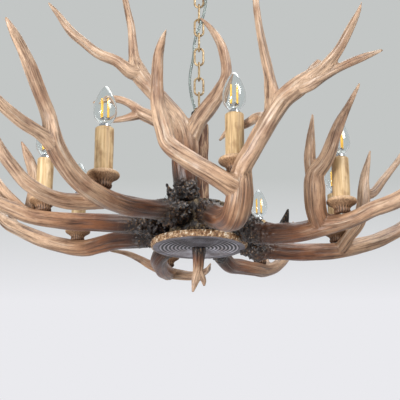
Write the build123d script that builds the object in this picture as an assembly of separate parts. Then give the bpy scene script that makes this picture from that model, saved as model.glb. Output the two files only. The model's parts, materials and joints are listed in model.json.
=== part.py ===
from build123d import *
import math
import os

# Antler chandelier with eight candle lights, hung from a ceiling on a chain.
# Heights named "up" are measured from the underside of the base plate. At the end everything is
# lowered, so that the origin is the middle of the ceiling mounting plane and +Z points up.

# Base plate: a slice of trunk with ring grooves on its underside
plate_radius = 84.0
plate_thickness = 12.0
plate_edge_round = 4.0
groove_count = 9
groove_width = 2.4
groove_depth = 1.2
groove_first_radius = 18.0
groove_spacing = 6.6

# Hub: an eight-sided block, hollow from below, with one flat for each candle antler
light_count = 8
first_heading = 13.8
hub_apothem = 56.0
hub_height = 64.0
hub_cavity_radius = 33.0
hub_cavity_height = 48.0
root_up = 46.0
root_radius = 19.0
peg_radius = 8.0
peg_depth = 14.0
seat_gap = 0.3

# Post, collar and the rod that clamps the middle together
post_radius = 18.0
post_wall = 7.0
post_height = 152.0
post_ridge_count = 11
post_ridge_radius = 2.4
collar_radius = 13.0
collar_height = 24.0
collar_tooth_count = 14
collar_tooth_height = 1.0
collar_tooth_width = 3.0
rod_radius = 5.0
rod_end_gap = 2.0
hole_clearance = 0.3
nut_across_flats = 17.0
nut_height = 8.0

# Chain, and the two loops that hold it
wire_radius = 2.0
link_length = 38.0
link_width = 20.0
link_count = 8
link_gap = 0.3
loop_foot_length = 23.0
loop_foot_width = 7.0
loop_foot_thickness = 2.0
post_loop_rise = 1.6
post_loop_stud = 12.0
post_loop_stud_radius = 4.0
canopy_loop_drop = 22.0

# Ceiling fitting
canopy_radius = 62.0
canopy_depth = 35.0
canopy_wall = 1.5
canopy_lip = 5.0
canopy_boss_radius = 24.0
bracket_length = 96.0
bracket_width = 22.0
bracket_thickness = 3.0
bracket_slot_spacing = 70.0
bracket_slot_length = 12.0
bracket_slot_radius = 2.6
grip_radius = 5.0
grip_flange_radius = 6.5
grip_flange_height = 2.0
grip_length = 10.0
cord_radius = 2.5

# Candles
cup_radius = 24.0
cup_height = 24.0
cup_neck_radius = 11.0
cup_neck_height = 8.0
cup_rim = 6.0
cup_bevel = 1.5
cup_recess = 2.0
cup_rib_count = 16
cup_rib_radius = 1.5
cup_rib_height = 12.0
sleeve_radius = 14.0
sleeve_wall = 2.2
sleeve_height = 70.0
nipple_radius = 5.0
nipple_bore_radius = 3.5
nipple_depth = 14.0
holder_radius = 10.8
holder_waist_radius = 9.3
holder_waist_height = 24.0
holder_bore_radius = 7.6
holder_top_inset = 2.0
holder_floor = 10.0
cap_radius = 7.0
cap_length = 25.0
cap_end_gap = 1.0
bulb_radius = 17.5
bulb_collar_radius = 8.6
bulb_collar_height = 6.0
bulb_glass_height = 62.0
bulb_belly_height = 22.0
bulb_shoulder_radius = 6.3
bulb_shoulder_height = 56.0
glass_wall = 0.8
filament_count = 4
filament_radius = 0.9
filament_length = 26.0
filament_circle = 4.0
stem_radius = 5.5
stem_height = 9.0

# Screws that hold the candle antlers to the hub
screw_radius = 3.0
screw_head_radius = 5.0
screw_head_height = 4.0
screw_reach = 16.0

# Terminal block, beside the rod in the hub
terminal_length = 30.0
terminal_width = 10.0
terminal_height = 14.0
terminal_offset = 18.0
terminal_pitch = 9.5
terminal_hole_radius = 1.8
terminal_hole_depth = 7.0

# Worked out from the sizes above
hub_top = plate_thickness + hub_height
post_top = hub_top + post_height
collar_top = post_top + collar_height
bend_radius = link_width / 2 - wire_radius
hook_offset = 2 * wire_radius + link_gap
link_pitch = link_length - 2 * wire_radius - hook_offset
post_bend_up = collar_top + post_loop_rise
last_link_up = post_bend_up + bend_radius - hook_offset + link_length / 2 - wire_radius
first_link_up = last_link_up + (link_count - 1) * link_pitch
canopy_bend_up = first_link_up + link_length / 2 - wire_radius - hook_offset + bend_radius
canopy_low = canopy_bend_up + canopy_loop_drop
drop = canopy_low + canopy_depth
cup_foot = cup_height - cup_recess

# Antlers. A station is (out, side, up, radius): out is measured from the middle of the post along
# the antler's heading, side is across it. The first branch is the beam, which starts at the hub,
# and the tines grow out of it. A candle stands at (out, side, up).
root = (hub_apothem, 0, root_up, root_radius)
candle_antlers = [
    {
        "candle": (242, -6, 50),
        "beam": [root, (88, -2, 37, 20.5), (125, -4, 21, 19), (170, -5, 3, 18.5), (205, -5, -7, 19),
                 (230, -4, -9, 19.5), (244, -3, 0, 20), (253, -2, 16, 19.5), (256, -2, 38, 17.5),
                 (267, -2, 54, 13.5), (283, 8, 73, 12.8), (298, 17, 92, 13.2), (315, 26, 111, 13.8),
                 (330, 40, 133, 13.7), (356, 52, 140, 12.7), (380, 64, 147, 9.9), (395, 72, 152, 8.5),
                 (415, 82, 165, 6.7), (434, 91, 187, 5.1), (446, 97, 203, 3.2), (453, 100, 214, 1.3)],
        "tines": [
            [(254, -3, 22, 17), (259, -26, 31, 14.6), (257, -50, 45, 14.1), (253, -68, 56, 13.4),
             (223, -98, 91, 13.4), (220, -108, 117, 12.6), (218, -115, 152, 11), (225, -119, 187, 9.4),
             (248, -121, 220, 7.8), (267, -120, 231, 5.4), (288, -118, 239, 1.4)],
            [(318, 28, 120, 13), (318, 27, 140, 10.8), (314, 24, 172, 7.6), (311, 17, 213, 6.8),
             (308, 12, 253, 6), (306, 9, 294, 4.8), (308, 7, 330, 3.2), (310, 6, 348, 2)],
            [(356, 52, 138, 10), (372, 60, 136, 9), (389, 74, 141, 6.5), (406, 88, 146, 5.8),
             (431, 104, 148, 5.1), (458, 122, 148, 2)],
            [(306, 22, 104, 12), (281, 24, 124, 8.5), (250, 23, 135, 7), (216, 18, 140, 6.3),
             (198, 0, 137, 5.5), (178, -12, 126, 2)],
            [(370, 62, 146, 10), (378, 66, 158, 8), (384, 70, 166, 4)],
        ],
    },
    {
        "candle": (260, 4, 22),
        "beam": [root, (78, 0, 34, 20), (97, 0, 22, 23), (120, 0, 10, 17.5), (172, 0, 3, 15.5),
                 (205, 0, 3, 15.5), (232, 0, 7, 16.5), (262, 4, 9, 13.5), (285, 8, 15, 12.5),
                 (306, 12, 24, 12), (346, 18, 36, 11.5), (385, 24, 62, 10), (415, 26, 98, 7.5),
                 (432, 28, 138, 4.5), (440, 28, 168, 2)],
        "tines": [
            [(226, -2, 6, 15), (225, -16, 30, 16), (229, -29, 55, 16.5), (234, -36, 80, 14.5),
             (254, -38, 102, 12), (277, -38, 154, 9), (313, -38, 214, 2)],
            [(230, -33, 68, 13), (227, -39, 96, 9.5), (230, -42, 137, 6.8), (236, -43, 178, 2)],
            [(158, 0, 8, 10), (164, 0, 24, 7), (170, 0, 45, 2)],
        ],
    },
    {
        "candle": (260, 4, 27),
        "beam": [root, (76, 0, 28, 20), (96, 0, 12, 22.5), (122, 0, 5, 18), (186, 0, 4, 15.8),
                 (230, 0, 8, 15.5), (262, 0, 13, 15), (324, 0, 30, 14), (355, 0, 43, 13.8),
                 (387, 0, 61, 12.5), (420, 0, 88, 10), (445, 0, 125, 7), (462, 0, 172, 2)],
        "tines": [
            [(262, -8, 14, 12), (272, -21, 32, 11), (288, -28, 56, 11), (299, -29, 92, 12),
             (303, -27, 120, 11), (309, -24, 150, 8.3), (323, -22, 202, 2)],
            [(301, -27, 110, 10), (325, -22, 120, 8.3), (350, -18, 150, 7.5), (386, -16, 194, 6),
             (412, -14, 235, 2)],
        ],
    },
    {
        "candle": (259, 12, 24),
        "beam": [root, (86, 12, 28, 20), (118, 22, 14, 16), (152, 24, 4, 15), (190, 22, 7, 14.8),
                 (235, 14, 10, 14), (284, 10, 16, 13), (325, 5, 34, 12), (365, 0, 64, 10),
                 (392, 0, 102, 7), (405, 0, 150, 2)],
        "tines": [
            [(300, 8, 22, 10), (322, 30, 45, 8), (340, 45, 84, 6), (350, 50, 128, 2)],
        ],
    },
    {
        "candle": (262, 2, 25),
        "beam": [root, (84, 20, 34, 19), (118, 40, 18, 16), (150, 42, 10, 15.5), (200, 26, 6, 15.5),
                 (240, 8, 8, 15), (270, 0, 14, 14.5), (312, 0, 27, 13), (350, -4, 50, 11),
                 (385, -8, 88, 8.5), (405, -10, 128, 5), (415, -10, 168, 2)],
        "tines": [
            [(262, 0, 12, 11), (256, -22, 8, 10), (240, -44, 4, 8.5), (196, -62, 5, 6.5), (150, -60, 10, 2)],
            [(214, 22, 8, 11), (226, 46, 20, 9), (228, 66, 30, 7), (198, 100, 33, 5), (178, 136, 32, 2)],
        ],
    },
    {
        "candle": (274, 0, 50),
        "beam": [root, (86, 0, 38, 20), (120, 0, 34, 17), (183, 2, 37, 16), (239, 2, 33, 15.5),
                 (272, 1, 36, 15.2), (304, 8, 44, 15), (350, 18, 60, 14.8), (395, 27, 82, 13.8),
                 (435, 34, 104, 11.5), (465, 40, 140, 7), (480, 42, 190, 2)],
        "tines": [
            [(408, 30, 92, 9), (440, 12, 118, 7), (470, -4, 150, 5), (488, -8, 185, 2)],
        ],
    },
    {
        "candle": (267, 9, 43),
        "beam": [root, (85, 2, 42, 21), (121, 5, 34, 16.5), (172, 9, 32, 15.5), (222, 11, 30, 14.5),
                 (262, 12, 31, 13.5), (288, 12, 34, 12.5), (312, 12, 42, 12), (337, 12, 52, 11.2),
                 (380, 15, 76, 9), (418, 16, 112, 6), (440, 16, 158, 2)],
        "tines": [
            [(294, 10, 38, 10), (312, 0, 56, 10.5), (339, -10, 88, 9), (366, -14, 140, 2)],
            [(284, 2, 38, 10), (285, -10, 48, 10), (286, -22, 62, 10), (282, -31, 98, 10.3),
             (285, -32, 125, 9.5), (298, -33, 158, 7), (309, -33, 181, 2)],
        ],
    },
    {
        "candle": (268, 0, 31),
        "beam": [root, (85, 0, 44, 22), (110, 0, 39, 17.5), (150, 0, 31, 15.5), (200, 0, 22, 15),
                 (240, 0, 18, 15), (275, 1, 18, 14.5), (318, 0, 26, 13.5), (350, 0, 42, 13.5),
                 (374, 0, 64, 14), (386, 0, 97, 10.5), (399, 0, 116, 9.3), (413, 0, 134, 9.2),
                 (426, 0, 152, 9), (441, 0, 169, 7.5), (458, 0, 185, 6), (473, 0, 200, 2)],
        "tines": [
            [(374, 0, 60, 12), (399, -2, 69, 8.8), (419, -6, 74, 8.3), (436, -8, 78, 8),
             (462, -12, 89, 7.3), (486, -16, 110, 4.5), (496, -18, 130, 2)],
            [(255, -4, 17, 12.5), (284, -24, 11, 12), (316, -45, 10, 11), (352, -64, 23, 10),
             (375, -75, 45, 9.2), (394, -84, 72, 7.5), (412, -90, 108, 4.5), (422, -94, 140, 2)],
            [(80, 0, 50, 11), (90, 0, 70, 7.5), (102, 0, 88, 2)],
        ],
    },
]

# The two upper antlers stand on the hub. Their out is measured towards the front. The rear one's
# heavy back branch brings the centre of mass under the chain, so that the chandelier hangs level.
front_upper_antler = {
    "beam": [(34, -18, hub_top, root_radius), (38, -23, 106, 20.5), (44, -26, 138, 21.5),
             (47, -23, 170, 22.5), (49, -36, 212, 18), (53, -58, 243, 14.5), (60, -85, 273, 14),
             (66, -104, 297, 15.5), (70, -114, 327, 9.5), (74, -116, 353, 7.6), (78, -119, 381, 7),
             (80, -129, 428, 5.6), (78, -136, 465, 4), (76, -140, 495, 2)],
    "tines": [
        [(47, -22, 172, 19), (48, -10, 200, 17), (49, 2, 220, 15.5), (50, 16, 239, 14.8),
         (54, 36, 268, 12.5), (57, 48, 302, 8.8), (57, 41, 350, 8), (58, 23, 385, 5.8), (58, 2, 409, 2)],
        [(66, -98, 296, 14), (72, -118, 296, 12.5), (80, -142, 312, 10), (90, -172, 321, 9),
         (98, -196, 337, 8.3), (106, -219, 355, 7.3), (113, -240, 382, 5), (120, -256, 400, 2)],
    ],
}
rear_upper_antler = {
    "beam": [(-34, -16, hub_top, 17.5), (-40, -20, 120, 17.5), (-44, -26, 175, 15.5), (-50, -40, 228, 14),
             (-54, -64, 253, 13.5), (-58, -88, 269, 13), (-60, -110, 281, 12), (-61, -128, 297, 8.8),
             (-63, -150, 308, 7.4), (-64, -173, 310, 6.3), (-65, -190, 307, 4.5), (-65, -203, 303, 2)],
    "tines": [
        [(-60, -106, 279, 10), (-64, -137, 271, 7), (-68, -162, 268, 5), (-70, -179, 265, 2)],
        [(-38, -18, 100, 16), (-62, -8, 95, 19), (-95, 8, 88, 22), (-150, 36, 88, 25), (-215, 58, 98, 25.5),
         (-275, 66, 114, 23.5), (-330, 66, 136, 19.5), (-380, 62, 162, 14), (-420, 58, 194, 8),
         (-442, 56, 224, 2)],
    ],
}

# The small forked finial hangs from the middle of the plate: (x, y, up, radius)
finial_stem = [(0, 0, 0, 12), (-1, -1, -20, 10.2), (-2, -2, -38, 9), (-6, -3, -56, 6.6), (-11, -4, -78, 2)]
finial_tine = [(-1, -2, -34, 7), (4, -3, -48, 5.8), (8, -3, -58, 4.4), (9, -2, -67, 2)]
finial_socket_depth = 14.0

# The supply cord leaves the grip beside the chain, goes through the third link from the top, hangs
# beside the chain and enters the collar. Its points are (x, y, up).
cord_exit = (14, 0, canopy_low - grip_length)
cord_end = (-6.5, 7, collar_top - 8)
cord_points = [
    cord_exit,
    (14, 0, collar_top + 236),
    (10.5, -12, collar_top + 193.5),
    (-9.5, 10.5, collar_top + 150.5),
    (-9.5, 6.5, collar_top + 116),
    (-16, 5, collar_top + 86),
    (-17.5, 3, collar_top + 56),
    (-12.5, 6, collar_top + 29),
    (-6.5, 7, collar_top + 10),
    cord_end,
]


def column(radius, low, high):
    """An upright round bar on Z."""
    return Pos(0, 0, (low + high) / 2) * Cylinder(radius, high - low)


def hexagon_bar(across_flats, low, high):
    """An upright six-sided bar on Z."""
    outline = RegularPolygon(across_flats / 2, 6, major_radius=False)
    return Pos(0, 0, low) * extrude(outline, high - low)


def turned(points):
    """A solid turned about Z from a closed outline of (radius, height) points."""
    return revolve(make_face(Polyline(*[(r, 0, z) for r, z in points], close=True)), Axis.Z)


def spot(heading, out, side, up):
    """A point given by out, side and up, in x, y and up."""
    a = math.radians(heading)
    return (out * math.sin(a) + side * math.cos(a), -out * math.cos(a) + side * math.sin(a), up)


def light_heading(number):
    """Degrees from the front towards the right, seen from above."""
    return first_heading + 360 / light_count * number


def tapered_branch(stations, start):
    """A horn through round sections, each square to the line between its neighbours."""
    points = [Vector(*station[:3]) for station in stations]
    last = len(points) - 1
    across = Vector(0.31, 0.17, 0.93)
    sections = []
    for i, point in enumerate(points):
        along = points[min(i + 1, last)] - points[max(i - 1, 0)]
        if i == 0 and start is not None:
            along = start
        along = along.normalized()
        across = (across - along * across.dot(along)).normalized()
        sections.append(Plane(origin=point, x_dir=across, z_dir=along) * Circle(stations[i][3]))
    return loft(sections, ruled=True)


def antler(shape, heading, start):
    """A beam with its tines as one solid."""
    def placed(branch):
        return [(*spot(heading, *station[:3]), station[3]) for station in branch]

    solid = tapered_branch(placed(shape["beam"]), start)
    for tine in shape["tines"]:
        solid = solid.fuse(tapered_branch(placed(tine), None))
    return solid


def radial(heading):
    """Turns a bar drawn along Z into one that lies along a heading, at root height."""
    return Pos(0, 0, root_up) * Rot(0, 0, heading - 90) * Rot(0, 90, 0)


def candle_antler(number):
    """A low antler, coped over the plate's rim, with its candle seat, nipple hole and screw hole."""
    shape, heading = candle_antlers[number], light_heading(number)
    solid = antler(shape, heading, Vector(*spot(heading, 1, 0, 0)))
    x, y, seat = spot(heading, *shape["candle"])
    solid = solid.fuse(Pos(x, y, 0) * column(cup_neck_radius + 1, seat - cup_height, seat))
    neck_space = column(cup_neck_radius + cup_rib_radius, seat, seat + cup_height)
    plate_space = column(cup_radius + 1, seat + cup_neck_height, seat + cup_height)
    nipple_hole = column(nipple_radius, seat - nipple_depth, seat + 1)
    solid = solid.cut(Pos(x, y, 0) * (neck_space + plate_space + nipple_hole))
    solid = solid.cut(column(plate_radius + seat_gap, -plate_thickness, plate_thickness))
    return solid.cut(radial(heading) * column(screw_radius, hub_apothem - 1, hub_apothem + screw_reach))


def upper_antler(shape):
    """An antler that stands on the hub with a round peg in its root."""
    x, y, up = spot(0, *shape["beam"][0][:3])
    peg = Pos(x, y, 0) * column(peg_radius, up - peg_depth, up + 1)
    return antler(shape, 0, Vector(0, 0, 1)).fuse(peg)


def base_plate():
    """The ring grooves are on the underside, round the finial."""
    bore = rod_radius + hole_clearance
    plate = turned([(bore, 0), (plate_radius, 0), (plate_radius, plate_thickness), (bore, plate_thickness)])
    rims = plate.edges().filter_by(GeomType.CIRCLE).sort_by(SortBy.RADIUS)[-2:]
    plate = fillet(rims, plate_edge_round)
    for i in range(groove_count):
        low = groove_first_radius + i * groove_spacing - groove_width / 2
        high = low + groove_width
        plate = plate - turned([(low, -1), (high, -1), (high, groove_depth), (low, groove_depth)])
    return plate


def hub_block():
    """Eight flats, a wiring space open below, and holes for the rod, cord, pegs and screws."""
    outline = RegularPolygon(hub_apothem, light_count, major_radius=False)
    outline = Rot(0, 0, light_heading(0) - 90 + 180 / light_count) * outline
    hub = Pos(0, 0, plate_thickness) * extrude(outline, hub_height)
    hub = hub - column(hub_cavity_radius, plate_thickness - 1, plate_thickness + hub_cavity_height)
    hub = hub - column(rod_radius + hole_clearance, plate_thickness, hub_top + 1)
    for shape in (front_upper_antler, rear_upper_antler):
        x, y, up = spot(0, *shape["beam"][0][:3])
        hub = hub - Pos(x, y, 0) * column(peg_radius, hub_top - peg_depth, hub_top + 1)
    for number in range(light_count):
        hole = column(screw_radius, hub_cavity_radius / 2, hub_apothem + 1)
        hub = hub - radial(light_heading(number)) * hole
    return hub


def bark_post():
    """A tube with upright ridges of bark, hollow for the rod and the cord."""
    post = column(post_radius - post_ridge_radius / 2, hub_top, post_top)
    ridge = Pos(post_radius - post_ridge_radius, 0, 0) * column(post_ridge_radius, hub_top, post_top)
    for i in range(post_ridge_count):
        post = post + Rot(0, 0, 360 / post_ridge_count * i) * ridge
    return post - column(post_radius - post_wall, hub_top - 1, post_top + 1)


def post_collar():
    """A toothed ring that joins the rod to the loop, with a hole for the cord."""
    collar = column(collar_radius, post_top, collar_top)
    tooth = Box(2 * collar_tooth_height, collar_tooth_width, collar_height)
    tooth = Pos(collar_radius, 0, (post_top + collar_top) / 2) * tooth
    for i in range(collar_tooth_count):
        collar = collar + Rot(0, 0, 360 / collar_tooth_count * i) * tooth
    rod_end = collar_top - post_loop_stud - rod_end_gap
    collar = collar - column(rod_radius, post_top - 1, rod_end)
    collar = collar - column(post_loop_stud_radius, rod_end - 1, collar_top + 1)
    inlet = column(cord_radius + seat_gap, post_top - 1, collar_top + 1)
    return collar - Pos(cord_end[0], cord_end[1], 0) * inlet


def wire_bend():
    """Half a ring of wire in the XZ plane, open below, about the origin."""
    section = Pos(bend_radius, 0, 0) * Circle(wire_radius)
    return revolve(section, Axis((0, 0, 0), (0, -1, 0)), 180)


def staple(leg):
    """A bend on two legs that stand on a foot bar. The leg runs from the bend's middle to the foot."""
    shape = wire_bend()
    for side in (-1, 1):
        shape = shape + Pos(side * bend_radius, 0, 0) * column(wire_radius, -leg, 0)
    foot = extrude(SlotOverall(loop_foot_length, loop_foot_width), loop_foot_thickness)
    return shape + Pos(0, 0, -leg) * foot


def chain_link(number):
    """An oval wire link. Links lie in the XZ and YZ planes in turn, from the top down."""
    half_straight = link_length / 2 - wire_radius - bend_radius
    upper = Pos(0, 0, half_straight) * wire_bend()
    link = upper + Rot(0, 180, 0) * upper
    for side in (-1, 1):
        link = link + Pos(side * bend_radius, 0, 0) * column(wire_radius, -half_straight, half_straight)
    return Pos(0, 0, first_link_up - number * link_pitch) * Rot(0, 0, 90 * (number % 2)) * link


def post_loop():
    """The loop on top of the collar, which carries everything below it."""
    stud = column(post_loop_stud_radius, collar_top - post_loop_stud, collar_top)
    return Pos(0, 0, post_bend_up) * staple(post_loop_rise) + stud


def canopy_loop():
    """The loop under the canopy, with the stud that goes up through it into the bracket."""
    loop = Pos(0, 0, canopy_bend_up) * Rot(0, 0, 90) * Rot(0, 180, 0) * staple(canopy_loop_drop)
    return loop + column(rod_radius, canopy_low, drop - hole_clearance)


def loop_nut():
    """Locks the loop's stud to the bracket from below."""
    high = drop - bracket_thickness
    return hexagon_bar(nut_across_flats, high - nut_height, high) - column(rod_radius, high - nut_height - 1, high + 1)


def ceiling_bracket():
    """A flat bar with two slots for ceiling screws and a hole for the loop's stud."""
    bar = Pos(0, 0, drop - bracket_thickness / 2) * Box(bracket_length, bracket_width, bracket_thickness)
    bar = fillet(bar.edges().filter_by(Axis.Z), bracket_width / 4)
    slot = extrude(SlotOverall(bracket_slot_length, 2 * bracket_slot_radius), 2 * bracket_thickness)
    for side in (-1, 1):
        bar = bar - Pos(side * bracket_slot_spacing / 2, 0, drop - 1.5 * bracket_thickness) * slot
    return bar - column(rod_radius, drop - 2 * bracket_thickness, drop + 1)


def ceiling_canopy():
    """A spun cover with a lip at the ceiling and a flat boss in the middle."""
    hole = rod_radius + hole_clearance
    lip = (canopy_radius, 0, drop - canopy_lip)
    boss = (canopy_boss_radius, 0, canopy_low)
    lip_in = (canopy_radius - canopy_wall, 0, drop - canopy_lip)
    boss_in = (canopy_boss_radius, 0, canopy_low + canopy_wall)
    outer = Spline(lip, boss, tangents=[(0, 0, -1), (-1, 0, 0)])
    inner = Spline(boss_in, lip_in, tangents=[(1, 0, 0), (0, 0, 1)])
    floor = Polyline(boss, (hole, 0, canopy_low), (hole, 0, canopy_low + canopy_wall), boss_in)
    rim = Polyline(lip_in, (canopy_radius - canopy_wall, 0, drop), (canopy_radius, 0, drop), lip)
    canopy = revolve(make_face(outer + floor + inner + rim), Axis.Z)
    return canopy - Pos(cord_exit[0], 0, 0) * column(grip_radius, canopy_low - 1, canopy_low + 2 * canopy_wall)


def cord_grip():
    """The bush where the cord leaves the canopy."""
    body = column(grip_radius, canopy_low - grip_length, canopy_low + canopy_wall)
    flange = column(grip_flange_radius, canopy_low - grip_flange_height, canopy_low)
    bush = body + flange - column(cord_radius, canopy_low, canopy_low + 2 * canopy_wall)
    return Pos(cord_exit[0], 0, 0) * bush


def central_rod():
    """The threaded rod from the finial to the collar."""
    return column(rod_radius, -finial_socket_depth, collar_top - post_loop_stud - rod_end_gap)


def rod_nut():
    """Sits in the hub's wiring space against its roof."""
    high = plate_thickness + hub_cavity_height
    return hexagon_bar(nut_across_flats, high - nut_height, high) - column(rod_radius, high - nut_height - 1, high + 1)


def finial():
    """A small forked antler tip, with a socket for the rod's end."""
    stem = tapered_branch(finial_stem, Vector(0, 0, -1)).fuse(tapered_branch(finial_tine, None))
    return stem - column(rod_radius, -finial_socket_depth, 1)


def antler_screws():
    """One screw for each candle antler, put in from the wiring space."""
    head_base = hub_cavity_radius - 1
    screw = column(screw_radius, head_base, hub_apothem + screw_reach)
    screw = screw + column(screw_head_radius, head_base - screw_head_height, head_base)
    return Compound([radial(light_heading(number)) * screw for number in range(light_count)])


def terminal_block():
    """Joins the supply cord to the lamp leads, on the plate beside the rod."""
    high = plate_thickness + terminal_height
    block = Box(terminal_width, terminal_length, terminal_height)
    block = Pos(terminal_offset, 0, high - terminal_height / 2) * block
    for row in (-1, 0, 1):
        hole = column(terminal_hole_radius, high - terminal_hole_depth, high + 1)
        block = block - Pos(terminal_offset, terminal_pitch * row, 0) * hole
    return block


def candle_cup():
    """A drip cup: a ribbed neck that opens into a thick-rimmed dish, drilled for the nipple."""
    rim_low = cup_height - cup_rim
    neck = (cup_neck_radius - 1, 0, cup_neck_height)
    edge = (cup_radius - 1, 0, rim_low)
    flare = Spline(neck, edge, tangents=[(0.2, 0, 1), (1, 0, 0.25)])
    recess = sleeve_radius + seat_gap
    outline = Polyline((nipple_radius, 0, 0), (cup_neck_radius, 0, 0), neck) + flare
    outline += Polyline(edge, (cup_radius, 0, rim_low + cup_bevel), (cup_radius, 0, cup_height - cup_bevel),
                        (cup_radius - cup_bevel, 0, cup_height), (recess, 0, cup_height), (recess, 0, cup_foot),
                        (nipple_radius, 0, cup_foot), (nipple_radius, 0, 0))
    cup = revolve(make_face(outline), Axis.Z)
    rib = Pos(cup_neck_radius - cup_rib_radius / 2, 0, 0) * column(cup_rib_radius, 0, cup_rib_height)
    for i in range(cup_rib_count):
        cup = cup + Rot(0, 0, 360 / cup_rib_count * i) * rib
    return cup


def candle_sleeve():
    """A plain tube that hides the lampholder. Its foot stands in the cup."""
    outside = column(sleeve_radius, cup_foot, cup_foot + sleeve_height)
    return outside - column(sleeve_radius - sleeve_wall, cup_foot - 1, cup_foot + sleeve_height + 1)


def lampholder():
    """The socket inside the sleeve, with a shoulder and a bore for the lamp's cap."""
    top = cup_foot + sleeve_height - holder_top_inset
    body = column(holder_waist_radius, cup_foot, cup_foot + holder_waist_height)
    body = body + column(holder_radius, cup_foot + holder_waist_height, top)
    body = body - column(holder_bore_radius, top - cap_length - cap_end_gap, top + 1)
    return body - column(nipple_radius, cup_foot - 1, cup_foot + holder_floor)


def socket_nipple():
    """The threaded tube that clamps cup and lampholder to the antler."""
    outside = column(nipple_radius, -nipple_depth, cup_foot + holder_floor)
    return outside - column(nipple_bore_radius, -nipple_depth - 1, cup_foot + holder_floor + 1)


def flame(wall):
    """The inside or outside of the lamp's glass, a tapered candle flame on its round foot."""
    low = cup_foot + sleeve_height + bulb_collar_height
    foot = (bulb_collar_radius - wall, 0, low + wall)
    belly = (bulb_radius - wall, 0, low + bulb_belly_height)
    shoulder = (bulb_shoulder_radius, 0, low + bulb_shoulder_height - wall)
    tip = (0, 0, low + bulb_glass_height - wall)
    side = Spline(foot, belly, tangents=[(0.45, 0, 1), (0, 0, 1)])
    crown = Spline(belly, shoulder, tip, tangents=[(0, 0, 1), (-0.9, 0, 0.2)])
    return revolve(make_face(side + crown + Polyline(tip, (0, 0, low + wall), foot)), Axis.Z)


def bulb():
    """A candle lamp as three solids: metal cap, filaments on their stem, and hollow glass."""
    base = cup_foot + sleeve_height
    low = base + bulb_collar_height
    cap = column(cap_radius, base - cap_length, base) + column(bulb_collar_radius, base, low)
    stem_top = low + glass_wall + stem_height
    stem = column(stem_radius, low + glass_wall, stem_top)
    filament = column(filament_radius, stem_top - 1, stem_top + filament_length)
    for i in range(filament_count):
        stem = stem + Rot(0, 0, 45 + 360 / filament_count * i) * Pos(filament_circle, 0, 0) * filament
    return Compound([cap, stem, flame(0) - flame(glass_wall)])


def cord_radii(points):
    """For each corner, 0.45 of its shorter run, divided by the tangent of half its turn."""
    radii = []
    for a, b, c in zip(points, points[1:], points[2:]):
        one, two = Vector(*b) - Vector(*a), Vector(*c) - Vector(*b)
        turn = math.radians(one.get_angle(two))
        radii.append(0.45 * min(one.length, two.length) / math.tan(turn / 2))
    return radii


def supply_cord():
    """One round tube along straight runs joined by arcs."""
    radii = cord_radii(cord_points)
    print("cord arcs:", ", ".join(f"{r:.0f}" for r in radii))
    route = FilletPolyline(*cord_points, radius=radii)
    cord = sweep(Plane(origin=route @ 0, z_dir=route % 0) * Circle(cord_radius), path=route)
    share = cord.volume / (math.pi * cord_radius ** 2 * route.length)
    print(f"cord length: {route.length:.0f}, volume over section times length: {share:.4f}")
    return cord


def save(name, shape):
    """Lowers a shape to the ceiling frame and writes it."""
    export_step(Pos(0, 0, -drop) * shape, f"parts/{name}.step")


os.makedirs("parts", exist_ok=True)
save("ceiling_bracket", ceiling_bracket())
save("ceiling_canopy", ceiling_canopy())
save("canopy_loop", canopy_loop())
save("loop_nut", loop_nut())
save("cord_grip", cord_grip())
for number in range(link_count):
    save(f"chain_link_{number + 1}", chain_link(number))
save("supply_cord", supply_cord())
save("post_loop", post_loop())
save("post_collar", post_collar())
save("bark_post", bark_post())
save("central_rod", central_rod())
save("rod_nut", rod_nut())
save("hub_block", hub_block())
save("base_plate", base_plate())
save("finial", finial())
save("antler_screws", antler_screws())
save("terminal_block", terminal_block())
save("front_upper_antler", upper_antler(front_upper_antler))
save("rear_upper_antler", upper_antler(rear_upper_antler))
cup, sleeve, lamp, holder, nipple = candle_cup(), candle_sleeve(), bulb(), lampholder(), socket_nipple()
seats = [Pos(*spot(light_heading(i), *shape["candle"])) for i, shape in enumerate(candle_antlers)]
for number, seat in enumerate(seats):
    save(f"candle_antler_{number + 1}", candle_antler(number))
    save(f"candle_cup_{number + 1}", seat * cup)
    save(f"candle_sleeve_{number + 1}", seat * sleeve)
    save(f"bulb_{number + 1}", seat * lamp)
save("lampholders", Compound([seat * holder for seat in seats]))
save("socket_nipples", Compound([seat * nipple for seat in seats]))
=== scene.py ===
import bpy
import json
import math
import numpy as np
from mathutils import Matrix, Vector, noise


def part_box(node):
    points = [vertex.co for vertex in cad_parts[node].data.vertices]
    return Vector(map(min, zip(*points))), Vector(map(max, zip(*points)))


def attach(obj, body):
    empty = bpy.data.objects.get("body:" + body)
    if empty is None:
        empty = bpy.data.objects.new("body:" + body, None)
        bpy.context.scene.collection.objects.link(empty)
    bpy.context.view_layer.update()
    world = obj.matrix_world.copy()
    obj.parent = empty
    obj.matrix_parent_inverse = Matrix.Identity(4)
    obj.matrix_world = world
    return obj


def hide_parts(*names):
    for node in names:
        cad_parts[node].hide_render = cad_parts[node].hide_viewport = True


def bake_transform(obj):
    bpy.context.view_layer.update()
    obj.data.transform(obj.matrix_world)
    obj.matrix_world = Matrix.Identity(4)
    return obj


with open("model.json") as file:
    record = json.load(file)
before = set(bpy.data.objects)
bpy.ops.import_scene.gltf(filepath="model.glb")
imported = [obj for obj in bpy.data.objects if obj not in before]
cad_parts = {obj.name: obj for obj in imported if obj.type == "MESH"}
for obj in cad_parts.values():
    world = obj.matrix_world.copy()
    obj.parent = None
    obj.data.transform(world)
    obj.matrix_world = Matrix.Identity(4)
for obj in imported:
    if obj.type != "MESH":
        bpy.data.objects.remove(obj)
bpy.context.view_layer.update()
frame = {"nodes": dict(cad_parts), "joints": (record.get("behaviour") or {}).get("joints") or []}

mm = 0.001
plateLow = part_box("base_plate")[0].z    # stations count their height from here, as the CAD does


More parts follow.
